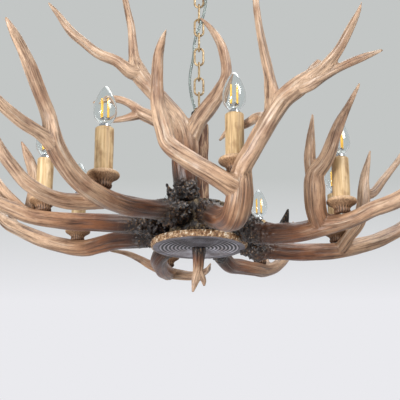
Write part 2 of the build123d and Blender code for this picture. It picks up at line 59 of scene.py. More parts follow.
# ---- camera, at the photograph's place ----
view = {"location": (0, -1.261, -0.8809), "tilt": 13.39, "lens": 67.7, "shift": (0.0025, 0.15)}


def makeCamera():
    data = bpy.data.cameras.new("camera")
    data.lens = view["lens"]
    data.shift_x, data.shift_y = view["shift"]
    camera = bpy.data.objects.new("camera", data)
    camera.location = view["location"]
    camera.rotation_euler = (math.radians(90 + view["tilt"]), 0, 0)
    bpy.context.scene.collection.objects.link(camera)
    bpy.context.scene.camera = camera


makeCamera()
print("camera set")


# ---- helpers for meshes ----
def spot(heading, out, side, up):
    # out, side and up in mm, as the CAD's stations have them, to a point in the frame
    a = math.radians(heading)
    level = Vector((out * math.sin(a) + side * math.cos(a), -out * math.cos(a) + side * math.sin(a), 0))
    return level * mm + Vector((0, 0, plateLow + up * mm))


def meshPiece(name, mesh):
    mesh.polygons.foreach_set("use_smooth", [True] * len(mesh.polygons))
    piece = bpy.data.objects.new(name, mesh)
    bpy.context.scene.collection.objects.link(piece)
    return piece


def meshObject(name, verts, faces):
    mesh = bpy.data.meshes.new(name)
    mesh.from_pydata([tuple(v) for v in verts], [], faces)
    mesh.validate()
    mesh.update()
    return meshPiece(name, mesh)


def joined(parts):
    # one list of points and one of faces from several of each
    verts, faces = [], []
    for partVerts, partFaces in parts:
        offset = len(verts)
        verts += list(partVerts)
        faces += [tuple(i + offset for i in face) for face in partFaces]
    return verts, faces


def curvePath(points, step):
    # an even path through points and radii: a Catmull-Rom spline
    p = np.array(points, float)
    ends = np.vstack([2 * p[0] - p[1], p, 2 * p[-1] - p[-2]])
    path = []
    for i in range(len(p) - 1):
        a, b, c, d = ends[i:i + 4]
        count = max(2, int(np.linalg.norm((c - b)[:3]) / step))
        for t in np.arange(count) / count:
            path.append(0.5 * (2 * b + (c - a) * t + (2 * a - 5 * b + 4 * c - d) * t * t
                               + (3 * b - a - 3 * c + d) * t ** 3))
    path.append(p[-1])
    return np.array(path)


def pathFrames(path, closed=False):
    # tangent and two cross directions at each point, turning as little as they can
    along = np.roll(path, -1, 0) - np.roll(path, 1, 0) if closed else np.gradient(path, axis=0)
    along /= np.linalg.norm(along, axis=1)[:, None]
    across = np.zeros_like(path)
    side = np.array([0.31, 0.17, 0.93])    # any direction that no path here sets out in
    for i, t in enumerate(along):
        side = side - t * side.dot(t)
        side /= np.linalg.norm(side)
        across[i] = side
    return along, across, np.cross(along, across)


def sections(path, across, other, radii, sides):
    # the points of round sections along a path
    turn = np.arange(sides) * 2 * math.pi / sides
    ring = across[:, None] * np.cos(turn)[None, :, None] + other[:, None] * np.sin(turn)[None, :, None]
    return (path[:, None] + ring * np.asarray(radii)[:, None, None]).reshape(-1, 3)


def skinFaces(rows, sides, closed=False):
    # quads from each section to the next
    faces = []
    for i in range(rows if closed else rows - 1):
        for k in range(sides):
            n, j = (k + 1) % sides, (i + 1) % rows
            faces.append((i * sides + k, i * sides + n, j * sides + n, j * sides + k))
    return faces


def endFaces(rows, sides):
    return [tuple(reversed(range(sides))), tuple(range((rows - 1) * sides, rows * sides))]


def tubeParts(path, radii, sides):
    along, across, other = pathFrames(path)
    rows = len(path)
    return sections(path, across, other, radii, sides), skinFaces(rows, sides) + endFaces(rows, sides)


def ringParts(path, radii, sides):
    # the plane of a flat closed ring is kept, so that its last section meets its first
    along = pathFrames(path, closed=True)[0]
    other = np.tile(np.cross(along[0], along[len(along) // 4]), (len(path), 1))
    other /= np.linalg.norm(other, axis=1)[:, None]
    return sections(path, np.cross(other, along), other, radii, sides), skinFaces(len(path), sides, closed=True)


def latheParts(profile, centre, sides, shape=None):
    # turns (radius, height) points in mm about an upright axis; shape(radius, height, angle) bends them
    verts = []
    for r, z in profile:
        for k in range(sides):
            a = 2 * math.pi * k / sides
            rr, zz = shape(r, z, a) if shape else (r, z)
            verts.append(centre + Vector((rr * math.cos(a), rr * math.sin(a), zz)) * mm)
    return verts, skinFaces(len(profile), sides) + endFaces(len(profile), sides)


def lathe(name, profile, centre, sides, shape=None):
    return meshObject(name, *latheParts(profile, centre, sides, shape))


def arc(cx, cz, r, start, end, count):
    # points on an arc, angles in degrees from the radius direction
    turns = [math.radians(start + (end - start) * i / count) for i in range(count + 1)]
    return [(cx + r * math.cos(a), cz + r * math.sin(a)) for a in turns]


def setAttribute(piece, name, values, kind="FLOAT", key="value"):
    attribute = piece.data.attributes.new(name, kind, "POINT")
    attribute.data.foreach_set(key, np.asarray(values, np.float32).reshape(-1))


def dressed(piece, node, material, body="fixture"):
    piece.data.materials.clear()
    piece.data.materials.append(material)
    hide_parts(node)
    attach(piece, body)
    return piece


# ---- helpers for materials ----
def hexColour(text):
    out = []
    for i in (1, 3, 5):
        c = int(text[i:i + 2], 16) / 255
        out.append(c / 12.92 if c <= 0.04045 else ((c + 0.055) / 1.055) ** 2.4)
    return (*out, 1.0)


def plug(tree, socket, value):
    # an output is linked to the socket, anything else is the socket's own value
    if isinstance(value, bpy.types.NodeSocket):
        tree.links.new(value, socket)
    else:
        socket.default_value = value


def setStops(elements, stops):
    # places along a colour ramp, from 0 to 1, with the colour at each
    while len(elements) > 1:
        elements.remove(elements[-1])
    elements[0].position, elements[0].color = stops[0][0], hexColour(stops[0][1])
    for place, colour in stops[1:]:
        elements.new(place).color = hexColour(colour)


def addNode(tree, kind, settings, output=0):
    # settings: a property or a socket, by name or number, to its value or to the output that feeds it
    # (a Mix node takes its share at 0 and its colours at 6 and 7, and gives the mixed one at 2)
    node = tree.nodes.new("ShaderNode" + kind)
    for key, value in settings.items():
        if key == "stops":
            setStops(node.color_ramp.elements, value)
        elif isinstance(key, str) and hasattr(node, key):
            setattr(node, key, value)
        else:
            plug(tree, node.inputs[key], value)
    return node.outputs[output]


def newMaterial(name):
    material = bpy.data.materials.new(name)
    material.use_nodes = True
    return material, material.node_tree


def shaded(material, settings, relief=None):
    # settings: the shader's sockets, to numbers, colours or outputs; relief: its height output, mm and strength
    tree = material.node_tree
    if relief:
        height, depthMm, strength = relief
        settings["Normal"] = addNode(tree, "Bump", {"Strength": strength, "Distance": depthMm * mm,
                                                    "Height": height})
    for key, value in settings.items():
        plug(tree, tree.nodes["Principled BSDF"].inputs[key], value)
    return material


def dappled(tree, colour, share, pattern, dark, clear):
    # darkens a colour by a pattern: dark is a level and its shade, clear is the level that leaves the colour
    shade = addNode(tree, "ValToRGB", {"Fac": pattern, "stops": [dark, (clear, "#ffffff")]})
    return addNode(tree, "Mix", {"data_type": "RGBA", "blend_type": "MULTIPLY", 0: share, 6: colour,
                                 7: shade}, 2)


def scaledNoise(tree, vector, scale, detail, roughness):
    scaled = addNode(tree, "Mapping", {"Scale": scale, "Vector": vector})
    return addNode(tree, "TexNoise", {"Scale": 1.0, "Detail": detail, "Roughness": roughness,
                                      "Vector": scaled})


def objectNoise(tree, widthMm, tallMm, detail, roughness=0.55):
    # noise whose grains are widthMm across and tallMm tall
    across, tall = 1 / (widthMm * mm), 1 / (tallMm * mm)
    return scaledNoise(tree, addNode(tree, "TexCoord", {}, "Object"), (across, across, tall), detail, roughness)


# ---- materials ----
# strands are (mm across, mm along the horn, detail), ranges are levels of a noise or of the hub's reach
antlerLook = {
    "ridge": [(0, "#1d1618"), (0.2, "#281a16"), (0.27, "#57331f"), (0.44, "#8d5936"), (0.58, "#ac8160"),
              (0.76, "#c7a282"), (1, "#d2b193")],
    "groove": [(0, "#080607"), (0.22, "#0e0909"), (0.3, "#231210"), (0.44, "#3a2015"), (0.58, "#4f321f"),
               (0.76, "#5f3f26"), (1, "#5a3b26")],
    "thread": (2.8, 70, 5), "threadRange": {"From Min": 0.37, "From Max": 0.52}, "threadShare": 0.55,
    "grainShare": 0.5, "grooveMm": 0.9,
    "rubbed": (5, 90, 3), "rubbedRange": {"From Min": 0.56, "From Max": 0.72, "To Max": 0.5},
    "rubbedColour": hexColour("#efe0cc"),
    "patchMm": 42, "patchTone": (0.32, "#b08c78"), "fleck": (0.9, 9, 5), "fleckTone": (0.34, "#7d6450"),
    "speckMm": 3.5, "speckRange": {"From Min": 0.56, "From Max": 0.63}, 
    "speckColour": hexColour("#94704c"),
    "hubRange": {"From Min": 0.3, "From Max": 0.16, "To Max": 0.8},
    "dullRange": {"From Min": 0.1, "From Max": 0.7, "To Min": 0.3, "To Max": 0.5},
    "lacquer": 0.15, "lacquerDull": 0.22}
# in mm; plainRim, chipped and bark are widths inward from the edge, nick and chip are depths
plate = {"radius": 84.0, "thickness": 12.0, "bore": 5.3, "edge": 4.0, "step": 0.5, "sides": 288,
         "ringPitch": 6.6, "ringDepth": 1.0, "ringed": 70.0, "ringBlend": 1.0, "wobble": 1.5,
         "plainRim": 8.0, "chipped": 7.0, "bark": 3.5, "barkBlend": 1.5, "nick": 2.0, "chip": 3.4}


def antlerResin():
    # cast polyester resin, brush-stained and sealed with satin lacquer: dark in the grooves, tan on the ridges
    look = antlerLook
    material, tree = newMaterial("cast resin stained as antler")
    reach = addNode(tree, "Attribute", {"attribute_name": "reach"}, "Fac")
    grain = addNode(tree, "Attribute", {"attribute_name": "grain"}, "Fac")
    lay = addNode(tree, "Attribute", {"attribute_name": "lay"}, "Vector")

    def strands(across, along, detail):
        return scaledNoise(tree, lay, (1 / across, 1 / across, 1 / along), detail, 0.6)

    thread = addNode(tree, "MapRange", {"Value": strands(*look["thread"]), **look["threadRange"]})
    worn = addNode(tree, "Math", {"operation": "MULTIPLY", 0: grain, 1: look["grainShare"]})
    share = addNode(tree, "Math", {"operation": "MULTIPLY_ADD", 0: thread, 1: look["threadShare"], 2: worn})
    ridge = addNode(tree, "ValToRGB", {"Fac": reach, "stops": look["ridge"]})
    groove = addNode(tree, "ValToRGB", {"Fac": reach, "stops": look["groove"]})
    stain = addNode(tree, "Mix", {"data_type": "RGBA", 0: share, 6: groove, 7: ridge}, 2)
    rubbed = addNode(tree, "MapRange", {"Value": strands(*look["rubbed"]), **look["rubbedRange"]})
    rubbed = addNode(tree, "Math", {"operation": "MULTIPLY", 0: rubbed, 1: reach})
    stain = addNode(tree, "Mix", {"data_type": "RGBA", 0: rubbed, 6: stain, 7: look["rubbedColour"]}, 2)
    patches = objectNoise(tree, look["patchMm"], look["patchMm"], 3)
    stain = dappled(tree, stain, 0.6, patches, look["patchTone"], 0.55)
    stain = dappled(tree, stain, 0.5, strands(*look["fleck"]), look["fleckTone"], 0.5)
    specks = objectNoise(tree, look["speckMm"], look["speckMm"], 4, 0.7)
    specks = addNode(tree, "MapRange", {"Value": specks, **look["speckRange"]})
    nearHub = addNode(tree, "MapRange", {"Value": reach, **look["hubRange"]})
    specks = addNode(tree, "Math", {"operation": "MULTIPLY", 0: specks, 1: nearHub})
    stain = addNode(tree, "Mix", {"data_type": "RGBA", 0: specks, 6: stain, 7: look["speckColour"]}, 2)
    dull = addNode(tree, "MapRange", {"Value": reach, **look["dullRange"]})
    return shaded(material, {"Base Color": stain, "Roughness": dull, "Coat Weight": look["lacquer"],
                             "Coat Roughness": look["lacquerDull"]}, (share, look["grooveMm"], 0.7))


def barkResin(name, colours, widthMm, tallMm, rough, depthMm):
    # cast resin painted as bark: a dry brush leaves the hollows dark
    material, tree = newMaterial(name)
    coarse = objectNoise(tree, widthMm, tallMm, 6, 0.65)
    stops = list(zip((0.3, 0.48, 0.62), colours))
    colour = addNode(tree, "ValToRGB", {"Fac": coarse, "stops": stops})
    fine = objectNoise(tree, widthMm * 0.25, tallMm * 0.3, 4)
    colour = dappled(tree, colour, 0.6, fine, (0.35, "#80706a"), 0.6)
    return shaded(material, {"Base Color": colour, "Roughness": rough}, (coarse, depthMm, 0.8))


def plateResin():
    # cast resin slice: grey-lilac growth rings whose grooves are darkened by painted shade and whose crests are
    # paled by painted highlight, and a tan bark edge chipped pale
    material, tree = newMaterial("cast resin trunk slice")
    place = addNode(tree, "TexCoord", {}, "Object")
    flat = addNode(tree, "Mapping", {"Scale": (1, 1, 0), "Vector": place})
    radius = addNode(tree, "VectorMath", {"operation": "LENGTH", 0: flat}, "Value")
    wobble = objectNoise(tree, 30, 30, 2)
    bent = addNode(tree, "Math", {"operation": "MULTIPLY_ADD", 0: wobble, 1: plate["wobble"] * mm, 2: radius})
    turnsPerMetre = 2 * math.pi / (plate["ringPitch"] * mm)
    turns = addNode(tree, "Math", {"operation": "MULTIPLY", 0: bent, 1: turnsPerMetre})
    wave = addNode(tree, "Math", {"operation": "SINE", 0: turns})
    level = addNode(tree, "MapRange", {"Value": wave, "From Min": -1.0, "From Max": 1.0})
    # near-black in the grooves is painted shade and the pale crests are painted highlight, laid over the growth
    # rings' grey-lilac
    ringShadeAndHighlight = [(0.2, "#0b0a0e"), (0.4, "#4f4c56"), (0.62, "#98949f"), (0.92, "#cbc7cf")]
    rings = addNode(tree, "ValToRGB", {"Fac": level, "stops": ringShadeAndHighlight})
    ringed, blend = plate["ringed"], plate["ringBlend"]
    plain = addNode(tree, "MapRange", {"Value": radius, "From Min": (ringed - blend) * mm,
                                       "From Max": (ringed + blend) * mm})
    rings = addNode(tree, "Mix", {"data_type": "RGBA", 0: plain, 6: rings, 7: hexColour("#85818b")}, 2)
    face = dappled(tree, rings, 0.7, objectNoise(tree, 22, 22, 4), (0.4, "#a8968a"), 0.65)
    chips = objectNoise(tree, 4.5, 9, 4, 0.7)
    tan = [(0.34, "#3f2a1e"), (0.46, "#8a6444"), (0.55, "#b8946c"), (0.63, "#f3e6d2")]
    bark = addNode(tree, "ValToRGB", {"Fac": chips, "stops": tan})
    barkLow, blend = plate["radius"] - plate["bark"], plate["barkBlend"]
    edge = addNode(tree, "MapRange", {"Value": radius, "From Min": (barkLow - blend) * mm,
                                      "From Max": barkLow * mm})
    colour = addNode(tree, "Mix", {"data_type": "RGBA", 0: edge, 6: face, 7: bark}, 2)
    return shaded(material, {"Base Color": colour, "Roughness": 0.55}, (chips, 0.8, 0.5))


def sleeveResin():
    # cast resin candle tube, brushed tan with upright streaks and a few darker runs
    material, tree = newMaterial("cast resin candle tube")
    streaks = objectNoise(tree, 3.2, 60, 5, 0.6)
    tan = [(0.3, "#a08059"), (0.5, "#c8a97c"), (0.68, "#e0c79e")]
    colour = addNode(tree, "ValToRGB", {"Fac": streaks, "stops": tan})
    runs = dappled(tree, colour, 0.6, objectNoise(tree, 14, 22, 3), (0.32, "#9c7a58"), 0.5)
    return shaded(material, {"Base Color": runs, "Roughness": 0.48}, (streaks, 0.4, 0.4))


def cupResin():
    # cast resin drip cup: brown stain pools between the pleats, and the cup is darker towards its foot and paler
    # towards its rim
    material, tree = newMaterial("cast resin drip cup")
    rise = addNode(tree, "Attribute", {"attribute_name": "rise"}, "Fac")
    pleat = addNode(tree, "Attribute", {"attribute_name": "pleat"}, "Fac")
    paler = [(0, "#7c5a42"), (0.5, "#ab8563"), (0.78, "#c9a580"), (1, "#d3b592")]
    tone = addNode(tree, "ValToRGB", {"Fac": rise, "stops": paler})
    pooled = addNode(tree, "Mix", {"data_type": "RGBA", "blend_type": "MULTIPLY", 0: pleat, 6: tone,
                                   7: hexColour("#5c4436")}, 2)
    fine = dappled(tree, pooled, 0.6, objectNoise(tree, 3, 3, 5), (0.35, "#94806e"), 0.6)
    return shaded(material, {"Base Color": fine, "Roughness": 0.5})


def agedGold():
    # steel wire with antique gold lacquer: cream-gold highlights, brown where it rubs in the bends
    material, tree = newMaterial("antique gold lacquered steel")
    wear = objectNoise(tree, 5, 5, 5, 0.7)
    gold = [(0.32, "#5b4030"), (0.48, "#b0936b"), (0.66, "#dbc8a3")]
    colour = addNode(tree, "ValToRGB", {"Fac": wear, "stops": gold})
    return shaded(material, {"Base Color": colour, "Metallic": 0.45, "Roughness": 0.42}, (wear, 0.2, 0.5))


def plainMetal(name, hexText, rough):
    # turned and plated metal: faint tool marks break up the gloss
    material, tree = newMaterial(name)
    marks = dappled(tree, hexColour(hexText), 0.5, objectNoise(tree, 1.5, 0.6, 3), (0.3, "#c8c8c8"), 0.6)
    return shaded(material, {"Base Color": marks, "Metallic": 1.0, "Roughness": rough})


def clearGlass():
    # blown soda-lime glass, clear and thin
    return shaded(newMaterial("blown clear glass")[0], {"Base Color": hexColour("#f7fafa"), "IOR": 1.45,
                                                        "Transmission Weight": 1.0, "Roughness": 0.0})


def filamentCoat():
    # phosphor-coated sapphire strip, yellow and glowing faintly
    material, tree = newMaterial("yellow phosphor strip")
    yellow = [(0.35, "#eeb23a"), (0.6, "#ffd768")]
    colour = addNode(tree, "ValToRGB", {"Fac": objectNoise(tree, 1.2, 4, 2), "stops": yellow})
    return shaded(material, {"Base Color": colour, "Emission Color": hexColour("#ffc34a"),
                             "Emission Strength": 0.6, "Roughness": 0.6})


def clearSheath():
    # soft clear PVC, slightly green-grey in its depth
    return shaded(newMaterial("clear vinyl sheath")[0], {"Base Color": hexColour("#dfe9e6"), "IOR": 1.5,
                                                         "Transmission Weight": 0.85, "Roughness": 0.12})


def plainPlastic(name, hexText, rough):
    # moulded plastic with a faint moulding texture
    material, tree = newMaterial(name)
    grain = objectNoise(tree, 1.0, 1.0, 2)
    colour = dappled(tree, hexColour(hexText), 0.5, grain, (0.3, "#e2e2e2"), 0.6)
    return shaded(material, {"Base Color": colour, "Roughness": rough}, (grain, 0.1, 0.3))


stainedAntler = antlerResin()
hubBark = barkResin("cast resin stump", ("#0e0b0b", "#2a1e1a", "#7d6a4c"), 7, 9, 0.5, 2.0)
postBark = barkResin("cast resin bark post", ("#2e1c15", "#7a5038", "#d0ad8a"), 3.5, 30, 0.6, 1.6)
trunkSlice = plateResin()
candleTube = sleeveResin()
dripCup = cupResin()
antiqueGold = agedGold()
zincSteel = plainMetal("zinc plated steel", "#b9bab6", 0.32)
chromeSteel = plainMetal("chromed brass", "#e6e8ea", 0.12)
blackLacquer = barkResin("black lacquered steel", ("#050505", "#0d0c0c", "#1c1a19"), 3, 3, 0.35, 0.6)
lampGlass = clearGlass()
phosphor = filamentCoat()
vinyl = clearSheath()
tinnedCopper = plainMetal("tinned copper strand", "#a9b0ad", 0.3)
whiteBlock = plainPlastic("white moulded urea", "#e8e4da", 0.4)
gripPlastic = plainPlastic("clear moulded nylon", "#d5d8d2", 0.3)
print("materials made")


# ---- antlers: the same stations as the CAD, (out, side, up, radius) in mm ----
firstHeading = 13.8
root = (56, 0, 46, 19)
candleAntlers = [
    {"candle": (242, -6, 50), "branches": [
        [root, (88, -2, 37, 20.5), (125, -4, 21, 19), (170, -5, 3, 18.5), (205, -5, -7, 19),
         (230, -4, -9, 19.5), (244, -3, 0, 20), (253, -2, 16, 19.5), (256, -2, 38, 17.5),
         (267, -2, 54, 13.5), (283, 8, 73, 12.8), (298, 17, 92, 13.2), (315, 26, 111, 13.8),
         (330, 40, 133, 13.7), (356, 52, 140, 12.7), (380, 64, 147, 9.9), (395, 72, 152, 8.5),
         (415, 82, 165, 6.7), (434, 91, 187, 5.1), (446, 97, 203, 3.2), (453, 100, 214, 1.3)],
        [(254, -3, 22, 17), (259, -26, 31, 14.6), (257, -50, 45, 14.1), (253, -68, 56, 13.4),
         (223, -98, 91, 13.4), (220, -108, 117, 12.6), (218, -115, 152, 11), (225, -119, 187, 9.4),
         (248, -121, 220, 7.8), (267, -120, 231, 5.4), (288, -118, 239, 1.4)],
        [(318, 28, 120, 13), (318, 27, 140, 10.8), (314, 24, 172, 7.6), (311, 17, 213, 6.8),
         (308, 12, 253, 6), (306, 9, 294, 4.8), (308, 7, 330, 3.2), (310, 6, 348, 2)],
        [(356, 52, 138, 10), (372, 60, 136, 9), (389, 74, 141, 6.5), (406, 88, 146, 5.8),
         (431, 104, 148, 5.1), (458, 122, 148, 2)],
        [(306, 22, 104, 12), (281, 24, 124, 8.5), (250, 23, 135, 7), (216, 18, 140, 6.3),
         (198, 0, 137, 5.5), (178, -12, 126, 2)],
        [(370, 62, 146, 10), (378, 66, 158, 8), (384, 70, 166, 4)]]},
    {"candle": (260, 4, 22), "burr": 74, "branches": [
        [root, (78, 0, 34, 20), (97, 0, 22, 23), (120, 0, 10, 17.5), (172, 0, 3, 15.5),
         (205, 0, 3, 15.5), (232, 0, 7, 16.5), (262, 4, 9, 13.5), (285, 8, 15, 12.5),
         (306, 12, 24, 12), (346, 18, 36, 11.5), (385, 24, 62, 10), (415, 26, 98, 7.5),
         (432, 28, 138, 4.5), (440, 28, 168, 2)],
        [(226, -2, 6, 15), (225, -16, 30, 16), (229, -29, 55, 16.5), (234, -36, 80, 14.5),
         (254, -38, 102, 12), (277, -38, 154, 9), (313, -38, 214, 2)],
        [(230, -33, 68, 13), (227, -39, 96, 9.5), (230, -42, 137, 6.8), (236, -43, 178, 2)],
        [(158, 0, 8, 10), (164, 0, 24, 7), (170, 0, 45, 2)]]},
    {"candle": (260, 4, 27), "burr": 70, "branches": [
        [root, (76, 0, 28, 20), (96, 0, 12, 22.5), (122, 0, 5, 18), (186, 0, 4, 15.8),
         (230, 0, 8, 15.5), (262, 0, 13, 15), (324, 0, 30, 14), (355, 0, 43, 13.8),
         (387, 0, 61, 12.5), (420, 0, 88, 10), (445, 0, 125, 7), (462, 0, 172, 2)],
        [(262, -8, 14, 12), (272, -21, 32, 11), (288, -28, 56, 11), (299, -29, 92, 12),
         (303, -27, 120, 11), (309, -24, 150, 8.3), (323, -22, 202, 2)],
        [(301, -27, 110, 10), (325, -22, 120, 8.3), (350, -18, 150, 7.5), (386, -16, 194, 6),
         (412, -14, 235, 2)]]},
    {"candle": (259, 12, 24), "branches": [
        [root, (86, 12, 28, 20), (118, 22, 14, 16), (152, 24, 4, 15), (190, 22, 7, 14.8),
         (235, 14, 10, 14), (284, 10, 16, 13), (325, 5, 34, 12), (365, 0, 64, 10),
         (392, 0, 102, 7), (405, 0, 150, 2)],
        [(300, 8, 22, 10), (322, 30, 45, 8), (340, 45, 84, 6), (350, 50, 128, 2)]]},
    {"candle": (262, 2, 25), "branches": [
        [root, (84, 20, 34, 19), (118, 40, 18, 16), (150, 42, 10, 15.5), (200, 26, 6, 15.5),
         (240, 8, 8, 15), (270, 0, 14, 14.5), (312, 0, 27, 13), (350, -4, 50, 11),
         (385, -8, 88, 8.5), (405, -10, 128, 5), (415, -10, 168, 2)],
        [(262, 0, 12, 11), (256, -22, 8, 10), (240, -44, 4, 8.5), (196, -62, 5, 6.5), (150, -60, 10, 2)],
        [(214, 22, 8, 11), (226, 46, 20, 9), (228, 66, 30, 7), (198, 100, 33, 5), (178, 136, 32, 2)]]},
    {"candle": (274, 0, 50), "branches": [
        [root, (86, 0, 38, 20), (120, 0, 34, 17), (183, 2, 37, 16), (239, 2, 33, 15.5),
         (272, 1, 36, 15.2), (304, 8, 44, 15), (350, 18, 60, 14.8), (395, 27, 82, 13.8),
         (435, 34, 104, 11.5), (465, 40, 140, 7), (480, 42, 190, 2)],
        [(408, 30, 92, 9), (440, 12, 118, 7), (470, -4, 150, 5), (488, -8, 185, 2)]]},
    {"candle": (267, 9, 43), "branches": [
        [root, (85, 2, 42, 21), (121, 5, 34, 16.5), (172, 9, 32, 15.5), (222, 11, 30, 14.5),
         (262, 12, 31, 13.5), (288, 12, 34, 12.5), (312, 12, 42, 12), (337, 12, 52, 11.2),
         (380, 15, 76, 9), (418, 16, 112, 6), (440, 16, 158, 2)],
        [(294, 10, 38, 10), (312, 0, 56, 10.5), (339, -10, 88, 9), (366, -14, 140, 2)],
        [(284, 2, 38, 10), (285, -10, 48, 10), (286, -22, 62, 10), (282, -31, 98, 10.3),
         (285, -32, 125, 9.5), (298, -33, 158, 7), (309, -33, 181, 2)]]},
    {"candle": (268, 0, 31), "branches": [
        [root, (85, 0, 44, 22), (110, 0, 39, 17.5), (150, 0, 31, 15.5), (200, 0, 22, 15),
         (240, 0, 18, 15), (275, 1, 18, 14.5), (318, 0, 26, 13.5), (350, 0, 42, 13.5),
         (374, 0, 64, 14), (386, 0, 97, 10.5), (399, 0, 116, 9.3), (413, 0, 134, 9.2),
         (426, 0, 152, 9), (441, 0, 169, 7.5), (458, 0, 185, 6), (473, 0, 200, 2)],
        [(374, 0, 60, 12), (399, -2, 69, 8.8), (419, -6, 74, 8.3), (436, -8, 78, 8),
         (462, -12, 89, 7.3), (486, -16, 110, 4.5), (496, -18, 130, 2)],
        [(255, -4, 17, 12.5), (284, -24, 11, 12), (316, -45, 10, 11), (352, -64, 23, 10),
         (375, -75, 45, 9.2), (394, -84, 72, 7.5), (412, -90, 108, 4.5), (422, -94, 140, 2)],
        [(80, 0, 50, 11), (90, 0, 70, 7.5), (102, 0, 88, 2)]]},
]
upperAntlers = {
    "front_upper_antler": [
        [(34, -18, 76, 19), (38, -23, 106, 20.5), (44, -26, 138, 21.5), (47, -23, 170, 22.5),
         (49, -36, 212, 18), (53, -58, 243, 14.5), (60, -85, 273, 14), (66, -104, 297, 15.5),
         (70, -114, 327, 9.5), (74, -116, 353, 7.6), (78, -119, 381, 7), (80, -129, 428, 5.6),
         (78, -136, 465, 4), (76, -140, 495, 2)],
        [(47, -22, 172, 19), (48, -10, 200, 17), (49, 2, 220, 15.5), (50, 16, 239, 14.8),
         (54, 36, 268, 12.5), (57, 48, 302, 8.8), (57, 41, 350, 8), (58, 23, 385, 5.8), (58, 2, 409, 2)],
        [(66, -98, 296, 14), (72, -118, 296, 12.5), (80, -142, 312, 10), (90, -172, 321, 9),
         (98, -196, 337, 8.3), (106, -219, 355, 7.3), (113, -240, 382, 5), (120, -256, 400, 2)]],
    "rear_upper_antler": [
        [(-34, -16, 76, 17.5), (-40, -20, 120, 17.5), (-44, -26, 175, 15.5), (-50, -40, 228, 14),
         (-54, -64, 253, 13.5), (-58, -88, 269, 13), (-60, -110, 281, 12), (-61, -128, 297, 8.8),
         (-63, -150, 308, 7.4), (-64, -173, 310, 6.3), (-65, -190, 307, 4.5), (-65, -203, 303, 2)],
        [(-60, -106, 279, 10), (-64, -137, 271, 7), (-68, -162, 268, 5), (-70, -179, 265, 2)],
        [(-38, -18, 100, 16), (-62, -8, 95, 19), (-95, 8, 88, 22), (-150, 36, 88, 25), (-215, 58, 98, 25.5),
         (-275, 66, 114, 23.5), (-330, 66, 136, 19.5), (-380, 62, 162, 14), (-420, 58, 194, 8),
         (-442, 56, 224, 2)]],
}
finialBranches = [
    [(0, 0, 0, 12), (1, -1, -20, 10.2), (2, -2, -38, 9), (3, -6, -56, 6.6), (4, -11, -78, 2)],
    [(2, -1, -34, 7), (3, 4, -48, 5.8), (2, 8, -58, 4.4), (2, 9, -67, 2)]]
# lengths in mm: sections and skin, relief, the stain's reach, the burr and the spikes beside it
horn = {"step": 3.0, "sides": 22, "least": 0.8, "voxel": 2.0, "smooth": 5,
        "streakAcross": 5.0, "streakAlong": 62.0, "fineAlong": 34.0, "swellAlong": 75.0,
        "streakHigh": 1.7, "swellHigh": 1.3, "thin": 9.0, "leastRelief": 0.15,
        "fullReach": 330.0, "upperReach": (0.45, 0.7), "finialReach": 0.16, "finialVoxel": 1.2,
        "burr": 52.0, "upperBurr": 24.0, "lump": 9.0, "lumpsPerMetre": 150.0,
        "spike": 60.0, "spikeZone": 150.0, "spikeTone": 0.3}


def remeshed(name, verts, faces, voxel):
    # joins overlapping tubes to one skin
    draft = meshObject(name + " draft", verts, faces)
    remesh = draft.modifiers.new("remesh", "REMESH")
    remesh.mode = "VOXEL"
    remesh.voxel_size = voxel * mm
    soften = draft.modifiers.new("soften", "SMOOTH")
    soften.factor = 0.5
    soften.iterations = horn["smooth"]
    graph = bpy.context.evaluated_depsgraph_get()
    mesh = bpy.data.meshes.new_from_object(draft.evaluated_get(graph))
    mesh.name = name
    bpy.data.objects.remove(draft)
    return meshPiece(name, mesh)


def neighbourMean(mesh, values, times):
    # evens out a value per point over the mesh's edges
    edges = np.zeros(len(mesh.edges) * 2, int)
    mesh.edges.foreach_get("vertices", edges)
    a, b = edges.reshape(-1, 2).T
    count = np.bincount(np.concatenate([a, b]), minlength=len(values))
    for _ in range(times):
        total = np.bincount(a, values[b], len(values)) + np.bincount(b, values[a], len(values))
        values = 0.5 * values + 0.5 * total / np.maximum(count, 1)
    return values


def perPoint(mesh, key):
    # the place or the normal of every point
    values = np.zeros(len(mesh.vertices) * 3)
    mesh.vertices.foreach_get(key, values)
    return values.reshape(-1, 3)


def hornSections(branches, heading, burr):
    # the branches' tubes as one, and for every section what the relief and the stain need to know of it
    tubes, samples = [], []
    startReach = 0.0
    for number, branch in enumerate(branches):
        path = curvePath([(*spot(heading, *s[:3]), s[3] * mm) for s in branch], horn["step"] * mm)
        middle, radii = path[:, :3], np.maximum(path[:, 3], horn["least"] * mm)
        tubes.append(tubeParts(middle, radii, horn["sides"]))
        run = np.concatenate([[0], np.cumsum(np.linalg.norm(np.diff(middle, axis=0), axis=1))])
        if number:
            # a tine carries on counting from where it leaves the horn before it
            known = np.vstack([s[0] for s in samples])
            nearest = np.argmin(np.linalg.norm(known - middle[0], axis=1))
            startReach = np.concatenate([s[2] for s in samples])[nearest]
        along, across, other = pathFrames(middle)
        # a small spike beside the hub keeps the burr's dark stain
        dark = number and burr and run[-1] < horn["spike"] * mm and startReach < horn["spikeZone"] * mm
        tone = np.full(len(run), horn["spikeTone"] if dark else 1.0)
        samples.append((middle, radii, run + startReach, across, other, np.full(len(run), number), along, tone))
    return joined(tubes), [np.concatenate(part) for part in zip(*samples)]


def nearestSections(points, middle, radii):
    # for each point the section it lies nearest to, counted in that section's radii
    nearest = np.zeros(len(points), int)
    batch = 4000    # points at a time, which keeps the memory small
    for low in range(0, len(points), batch):
        gap = np.linalg.norm(points[low:low + batch, None] - middle[None], axis=2) / radii[None]
        nearest[low:low + batch] = np.argmin(gap, axis=1)
    return nearest


